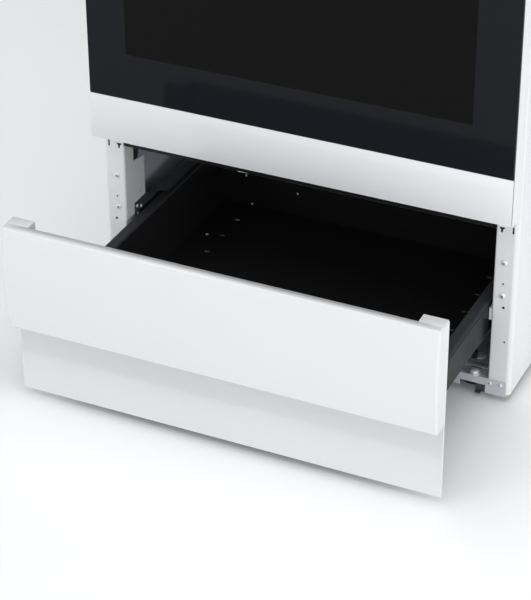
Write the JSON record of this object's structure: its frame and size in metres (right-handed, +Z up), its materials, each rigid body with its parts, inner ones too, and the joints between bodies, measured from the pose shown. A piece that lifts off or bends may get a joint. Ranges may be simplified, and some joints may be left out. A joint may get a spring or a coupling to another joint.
{
  "type": "freestanding gas range",
  "caption": "White freestanding gas range with a black glass oven door, cast grates, front knobs and a pull-out storage drawer with a bulging two-tier front.",
  "frame": {"origin": "on the floor, on the centre line, under the front plane of the cabinet's posts", "axes": "+X to the range's right seen from the front, +Y to its back, +Z up"},
  "size_m": [0.6048, 0.904, 1.08],
  "materials": {
    "white_enamel": "glossy baked enamel",
    "galvanised_steel": "zinc-coated, faint spangle",
    "black_enamel": "glossy porcelain enamel",
    "black_steel": "satin black coat",
    "zinc_screws": "bright zinc plate",
    "white_nylon": "moulded nylon",
    "oven_enamel": "speckled porcelain enamel",
    "glass_wool": "matted glass wool",
    "seal_braid": "woven glass braid",
    "steel_tube": "drawn steel",
    "aluminium_cast": "cast, satin",
    "brass_valves": "machined",
    "cast_iron_grate": "matt enamelled iron",
    "cap_enamel": "matt black enamel",
    "electrode_ceramic": "glazed insulator",
    "door_glass": "black-printed tempered glass",
    "window_glass": "clear tempered glass",
    "lens_glass": "pressed glass",
    "handle_steel": "white-painted tube",
    "knob_plastic": "moulded, satin",
    "button_plastic": "moulded, satin",
    "rack_chrome": "plated wire",
    "foot_plastic": "moulded foot on a zinc stud",
    "roller_nylon": "turned nylon"
  },
  "bodies": {
    "cabinet": {"side_panel_right": "white_enamel", "side_panel_left": "white_enamel", "rear_panel": "galvanised_steel", "front_frame": "oven_enamel", "base_front_channel": "galvanised_steel", "base_side_rails": "galvanised_steel", "base_clips": "black_steel", "drawer_rail_right": "black_steel", "drawer_rail_left": "black_steel", "drawer_side_guides": "white_nylon", "body_screws": "zinc_screws", "oven_liner": "oven_enamel", "oven_bottom_panel": "oven_enamel", "insulation": "glass_wool", "bake_burner": "steel_tube", "broil_burner": "steel_tube", "oven_light": "lens_glass", "door_gasket": "seal_braid", "hinge_arms": "steel_tube", "cooktop": "white_enamel", "burner_bases": "aluminium_cast", "burner_heads": "aluminium_cast", "burner_caps": "cap_enamel", "spark_electrodes": "electrode_ceramic", "grates": "cast_iron_grate", "manifold_pipe": "steel_tube", "gas_valves": "brass_valves", "gas_tubes": "aluminium_cast", "pressure_regulator": "aluminium_cast", "control_panel": "white_enamel", "backguard": "white_enamel", "display_window": "door_glass"},
    "drawer": {"drawer_front": "white_enamel", "drawer_pan": "black_enamel", "drawer_fasteners": "zinc_screws"},
    "roller_right": {"drawer_roller_right": "roller_nylon"},
    "roller_left": {"drawer_roller_left": "roller_nylon"},
    "door": {"door_shell": "white_enamel", "door_hinge_pins": "steel_tube", "door_outer_glass": "door_glass", "door_inner_panel": "oven_enamel", "door_window_glass": "window_glass", "door_handle": "handle_steel"},
    "oven_dial": {"oven_knob": "knob_plastic"},
    "stem_1": {"valve_stem_1": "steel_tube"},
    "knob_1": {"burner_knob_1": "knob_plastic"},
    "stem_2": {"valve_stem_2": "steel_tube"},
    "knob_2": {"burner_knob_2": "knob_plastic"},
    "stem_3": {"valve_stem_3": "steel_tube"},
    "knob_3": {"burner_knob_3": "knob_plastic"},
    "stem_4": {"valve_stem_4": "steel_tube"},
    "knob_4": {"burner_knob_4": "knob_plastic"},
    "button_1": {"panel_button_1": "button_plastic"},
    "button_2": {"panel_button_2": "button_plastic"},
    "rack_lower": {"oven_rack_lower": "rack_chrome"},
    "rack_upper": {"oven_rack_upper": "rack_chrome"},
    "foot_front_right": {"leg_front_right": "foot_plastic"},
    "foot_front_left": {"leg_front_left": "foot_plastic"},
    "foot_rear_right": {"leg_rear_right": "foot_plastic"},
    "foot_rear_left": {"leg_rear_left": "foot_plastic"}
  },
  "joints": [
    {"name": "drawer_slide", "type": "slide", "parent": "cabinet", "child": "drawer", "axis": [0, -1, 0], "range_m": [-0.2436, 0.05]},
    {"name": "door_hinge", "type": "hinge", "parent": "cabinet", "child": "door", "pos_m": [0, -0.022, 0.2885], "axis": [1, 0, 0], "range_deg": [0, 90]},
    {"name": "oven_dial_turn", "type": "hinge", "parent": "cabinet", "child": "oven_dial", "pos_m": [0, -0.05, 0.8399], "axis": [0, 1, 0], "range_deg": [0, 290]},
    {"name": "roller_right_spin", "type": "hinge", "parent": "drawer", "child": "roller_right", "pos_m": [0.26, 0.225, 0.1065], "axis": [1, 0, 0], "continuous": true},
    {"name": "roller_left_spin", "type": "hinge", "parent": "drawer", "child": "roller_left", "pos_m": [-0.26, 0.225, 0.1065], "axis": [1, 0, 0], "continuous": true},
    {"name": "knob_push_1", "type": "slide", "parent": "cabinet", "child": "stem_1", "axis": [0, 1, 0], "range_m": [0, 0.003], "stiffness_N_per_m": 400},
    {"name": "knob_turn_1", "type": "hinge", "parent": "stem_1", "child": "knob_1", "pos_m": [-0.22, -0.05, 0.8399], "axis": [0, -1, 0], "range_deg": [0, 230]},
    {"name": "knob_push_2", "type": "slide", "parent": "cabinet", "child": "stem_2", "axis": [0, 1, 0], "range_m": [0, 0.003], "stiffness_N_per_m": 400},
    {"name": "knob_turn_2", "type": "hinge", "parent": "stem_2", "child": "knob_2", "pos_m": [-0.12, -0.05, 0.8399], "axis": [0, -1, 0], "range_deg": [0, 230]},
    {"name": "knob_push_3", "type": "slide", "parent": "cabinet", "child": "stem_3", "axis": [0, 1, 0], "range_m": [0, 0.003], "stiffness_N_per_m": 400},
    {"name": "knob_turn_3", "type": "hinge", "parent": "stem_3", "child": "knob_3", "pos_m": [0.12, -0.05, 0.8399], "axis": [0, -1, 0], "range_deg": [0, 230]},
    {"name": "knob_push_4", "type": "slide", "parent": "cabinet", "child": "stem_4", "axis": [0, 1, 0], "range_m": [0, 0.003], "stiffness_N_per_m": 400},
    {"name": "knob_turn_4", "type": "hinge", "parent": "stem_4", "child": "knob_4", "pos_m": [0.22, -0.05, 0.8399], "axis": [0, -1, 0], "range_deg": [0, 230]},
    {"name": "button_press_1", "type": "slide", "parent": "cabinet", "child": "button_1", "axis": [0, 1, 0], "range_m": [0, 0.0012], "stiffness_N_per_m": 400},
    {"name": "button_press_2", "type": "slide", "parent": "cabinet", "child": "button_2", "axis": [0, 1, 0], "range_m": [0, 0.0012], "stiffness_N_per_m": 400},
    {"name": "rack_lower_slide", "type": "slide", "parent": "cabinet", "child": "rack_lower", "axis": [0, -1, 0], "range_m": [0, 0.02]},
    {"name": "rack_upper_slide", "type": "slide", "parent": "cabinet", "child": "rack_upper", "axis": [0, -1, 0], "range_m": [0, 0.02]},
    {"name": "leg_front_right_turn", "type": "hinge", "parent": "cabinet", "child": "foot_front_right", "pos_m": [0.238, 0.04, 0.02], "axis": [0, 0, 1], "continuous": true},
    {"name": "leg_front_left_turn", "type": "hinge", "parent": "cabinet", "child": "foot_front_left", "pos_m": [-0.238, 0.04, 0.02], "axis": [0, 0, 1], "continuous": true},
    {"name": "leg_rear_right_turn", "type": "hinge", "parent": "cabinet", "child": "foot_rear_right", "pos_m": [0.238, 0.558, 0.02], "axis": [0, 0, 1], "continuous": true},
    {"name": "leg_rear_left_turn", "type": "hinge", "parent": "cabinet", "child": "foot_rear_left", "pos_m": [-0.238, 0.558, 0.02], "axis": [0, 0, 1], "continuous": true}
  ],
  "couplings": [
    {"joint": "roller_right_spin", "follows": "drawer_slide", "rad_per_m": 142.86},
    {"joint": "roller_left_spin", "follows": "drawer_slide", "rad_per_m": 142.86}
  ]
}
